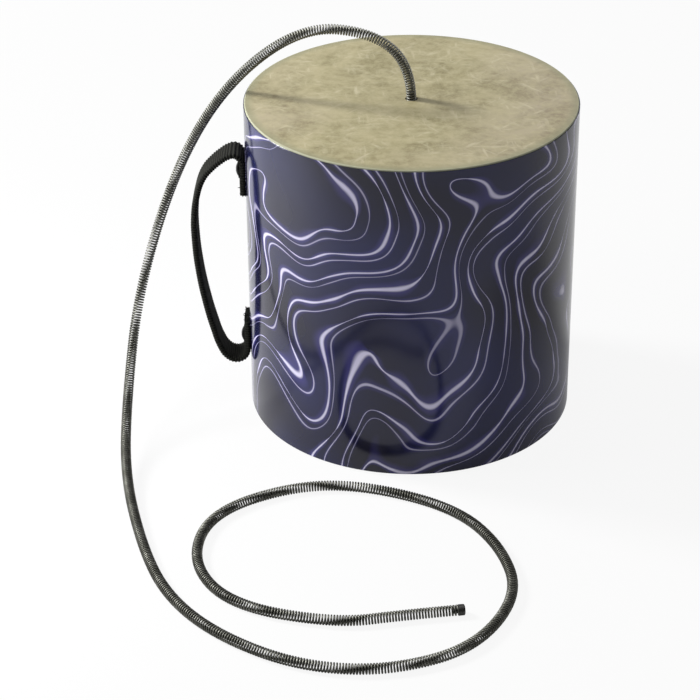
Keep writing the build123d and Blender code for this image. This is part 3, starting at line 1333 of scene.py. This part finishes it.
for arm in ((recess_length, recess_width), (recess_width, recess_length)):
    arm_corners = bmesh.ops.create_cube(recess, size=1)["verts"]
    bmesh.ops.scale(recess, vec=(*arm, 2 * recess_depth), verts=arm_corners)
    bmesh.ops.translate(recess, vec=(0, 0, head_top), verts=arm_corners)
recess_mesh = bpy.data.meshes.new("screw_recess")
recess.to_mesh(recess_mesh)
recess.free()
recess_cutter = put_in_scene("screw_recess", recess_mesh)
screw_blank = put_in_scene("screw_blank", screw_mesh)
cut = screw_blank.modifiers.new("Cross recess", "BOOLEAN")
cut.object = recess_cutter
cut.operation = "DIFFERENCE"
cut.use_self = True
screw_mesh = plain_mesh(screw_blank)
bpy.data.objects.remove(recess_cutter)

washer_edge = 0.15 * mm
screw_hole_radius = 2.75 * mm


def washer_outline(low, high):
    """The section of a flat washer in a CAD box on the wall, with its outer edges broken."""
    foot = -high.x - wrap_radius
    top = -low.x - wrap_radius
    outer_radius = (high.z - low.z) / 2
    return [
        (screw_hole_radius, foot),
        (outer_radius - washer_edge, foot),
        (outer_radius, foot + washer_edge),
        (outer_radius, top - washer_edge),
        (outer_radius - washer_edge, top),
        (screw_hole_radius, top),
    ]


outer_outline = washer_outline(outer_low, outer_high)
outer_washer = turned_mesh("outer_washer", outer_outline, small_segments, black_oxide)
inner_outline = washer_outline(inner_low, inner_high)
inner_washer = turned_mesh("inner_washer", inner_outline, small_segments, zinc_plate)

nut_segments = 72
nut_foot = -nut_high.x - wrap_radius
nut_top = -nut_low.x - wrap_radius
nut_width = nut_high.z - nut_low.z
nut_corner = nut_width / math.sqrt(3)
nut_bore = 2.6 * mm
nut_bevel = 0.4 * mm
collar_radius = 3.6 * mm
collar_height = 1.4 * mm
nut_outline = [
    (nut_bore, nut_foot),
    (collar_radius - nut_bevel, nut_foot),
    (collar_radius, nut_foot + nut_bevel),
    (collar_radius, nut_foot + collar_height),
    (nut_width / 2, nut_foot + collar_height),
    (nut_corner, nut_foot + collar_height + nut_bevel),
    (nut_corner, nut_top - nut_bevel),
    (nut_width / 2, nut_top),
    (nut_bore, nut_top),
]
lock_nut = turned_mesh("lock_nut", nut_outline, nut_segments, zinc_plate, flats=nut_width)

pairing, given = new_node_tree(
    "Pair on the wall",
    {
        "Wall Radius": "Float",
        "Lower Height": "Float",
        "Upper Height": "Float",
        "Finish": "Material",
    },
)
wall = add_node(
    pairing,
    "ShaderNodeMath",
    {"operation": "MULTIPLY", 1: -1.0},
    {0: given.outputs["Wall Radius"]},
)
lower_place = add_node(
    pairing,
    "ShaderNodeCombineXYZ",
    {},
    {"X": wall.outputs["Value"], "Z": given.outputs["Lower Height"]},
)
upper_place = add_node(
    pairing,
    "ShaderNodeCombineXYZ",
    {},
    {"X": wall.outputs["Value"], "Z": given.outputs["Upper Height"]},
)
spots = add_node(
    pairing,
    "GeometryNodeMeshLine",
    {"mode": "END_POINTS", "count_mode": "TOTAL", "Count": 2},
    {"Start Location": lower_place.outputs["Vector"], "Offset": upper_place.outputs["Vector"]},
)
placed = add_node(
    pairing,
    "GeometryNodeInstanceOnPoints",
    {"Rotation": (0, math.radians(-90), 0)},
    {"Points": spots.outputs["Mesh"], "Instance": given.outputs["Geometry"]},
)
realized = add_node(
    pairing,
    "GeometryNodeRealizeInstances",
    {},
    {"Geometry": placed.outputs["Instances"]},
)
finished = add_node(
    pairing,
    "GeometryNodeSetMaterial",
    {},
    {"Geometry": realized.outputs["Geometry"], "Material": given.outputs["Finish"]},
)
add_node(pairing, "NodeGroupOutput", {}, {"Geometry": finished.outputs["Geometry"]})
fasteners = [
    ("handle_screws", screw_mesh, black_oxide, "blackened_steel", "handle_screw"),
    ("strap_washers", outer_washer, black_oxide, "blackened_steel", "strap_washer"),
    ("inner_washers", inner_washer, zinc_plate, "zinc_steel", "inner_washer"),
    ("lock_nuts", lock_nut, zinc_plate, "zinc_steel", "handle_nut"),
]
for name, single, finish, slot, node in fasteners:
    pair = grown_mesh(
        name,
        single,
        pairing,
        {
            "Wall Radius": wrap_radius,
            "Lower Height": lower_height,
            "Upper Height": upper_height,
            "Finish": finish,
        },
    )
    add_piece(pair, "drum", slot, f"{node}_upper", f"{node}_lower")

# Studio: a white paper floor and a white surround, with a dimmer room in front and on the right
# that only the gloss shows. Part of the floor's white is its own, so that its shadows stay pale.
seen_white = 0.9
mirrored_white = 0.25
paper, tree, shader, place = new_material("White background paper")
ray = add_node(tree, "ShaderNodeLightPath")
mirrored = add_node(
    tree,
    "ShaderNodeMath",
    {"operation": "MAXIMUM"},
    {0: ray.outputs["Is Glossy Ray"], 1: ray.outputs["Is Transmission Ray"]},
)
mirror_share = add_node(
    tree,
    "ShaderNodeMath",
    {"operation": "MULTIPLY", 1: mirrored_white},
    {0: mirrored.outputs["Value"]},
)
own_share = add_node(
    tree,
    "ShaderNodeMath",
    {"operation": "MULTIPLY_ADD", 1: seen_white},
    {0: ray.outputs["Is Camera Ray"], 2: mirror_share.outputs["Value"]},
)
own_white = add_node(tree, "ShaderNodeEmission", {"Strength": 1.0})
sheet = add_node(
    tree,
    "ShaderNodeMixShader",
    {},
    {0: own_share.outputs["Value"], 1: shader.outputs["BSDF"], 2: own_white.outputs["Emission"]},
)
tree.links.new(sheet.outputs["Shader"], tree.nodes["Material Output"].inputs["Surface"])
shader.inputs["Base Color"].default_value = linear("#dedede")
shader.inputs["Roughness"].default_value = 0.9
shader.inputs["Specular IOR Level"].default_value = 0.0
floor_reach = 6.0
floor_corners = [
    (-floor_reach, -floor_reach, 0),
    (floor_reach, -floor_reach, 0),
    (floor_reach, floor_reach, 0),
    (-floor_reach, floor_reach, 0),
]
floor_mesh = bpy.data.meshes.new("studio_floor")
floor_mesh.from_pydata(floor_corners, [], [(0, 1, 2, 3)])
floor_mesh.materials.append(paper)
floor = put_in_scene("studio_floor", floor_mesh)

surround = bpy.data.worlds.new("White surround")
scene.world = surround
surround.use_nodes = True
tree = surround.node_tree
background = tree.nodes["Background"]
ray = add_node(tree, "ShaderNodeLightPath")
mirrored = add_node(
    tree,
    "ShaderNodeMath",
    {"operation": "MAXIMUM"},
    {0: ray.outputs["Is Glossy Ray"], 1: ray.outputs["Is Transmission Ray"]},
)
bright_side = (-0.5, 0.8, 0.3)
fill_level = 0.22
direction = add_node(tree, "ShaderNodeTexCoord").outputs["Generated"]
toward = add_node(
    tree,
    "ShaderNodeVectorMath",
    {"operation": "DOT_PRODUCT", 1: bright_side},
    {0: direction},
)
room = add_node(
    tree,
    "ShaderNodeMapRange",
    {"From Min": -0.4, "From Max": 0.6, "To Min": 0.06, "To Max": 1.0},
    {"Value": toward.outputs["Value"]},
)
mirror_level = add_node(
    tree,
    "ShaderNodeMix",
    {"data_type": "FLOAT", 2: fill_level},
    {0: mirrored.outputs["Value"], 3: room.outputs["Result"]},
)
level = add_node(
    tree,
    "ShaderNodeMix",
    {"data_type": "FLOAT", 3: 1.0},
    {0: ray.outputs["Is Camera Ray"], 2: mirror_level.outputs[0]},
)
tree.links.new(level.outputs[0], background.inputs["Strength"])
background.inputs["Color"].default_value = (1, 1, 1, 1)

# Lamps: the main one far off on the left, a little behind and 34 degrees up, a broad weak one
# overhead, and a low one that lights the floor on the left, which the drum's gloss mirrors.
head_middle = Vector((0, 0, head_high.z))
for name, stand, aim, size, power in (
    ("main_lamp", (-3.2, 1.14, 2.54), head_middle, 1.0, 178.0),
    ("overhead_lamp", (0.1, 0.1, 2.4), head_middle, 1.4, 7.2),
    ("floor_lamp", (-0.55, -0.12, 0.38), Vector((-0.55, -0.12, 0)), 0.25, 2.8),
):
    lamp_light = bpy.data.lights.new(name, "AREA")
    lamp_light.shape = "DISK"
    lamp_light.size = size
    lamp_light.energy = power
    lamp = put_in_scene(name, lamp_light)
    lamp.location = stand
    lamp.rotation_euler = (Vector(stand) - aim).to_track_quat("Z", "Y").to_euler()
    lamp.visible_camera = False

# Camera: where the photograph was taken from, about 1.9 m away and looking down by 30 degrees,
# with a long lens.
camera_data = bpy.data.cameras.new("photo_camera")
camera_data.sensor_width = 36
camera_data.lens = 120.3
camera = put_in_scene("photo_camera", camera_data)
camera_place = (-0.0153, -1.6249, 0.9725)
elevation = math.radians(29.93)
yaw = math.radians(1.15)
roll = math.radians(-0.47)
camera.matrix_world = (
    Matrix.Translation(camera_place)
    @ Matrix.Rotation(yaw, 4, "Z")
    @ Matrix.Rotation(math.pi / 2 - elevation, 4, "X")
    @ Matrix.Rotation(roll, 4, "Z")
)
scene.camera = camera
scene.view_settings.view_transform = "Standard"
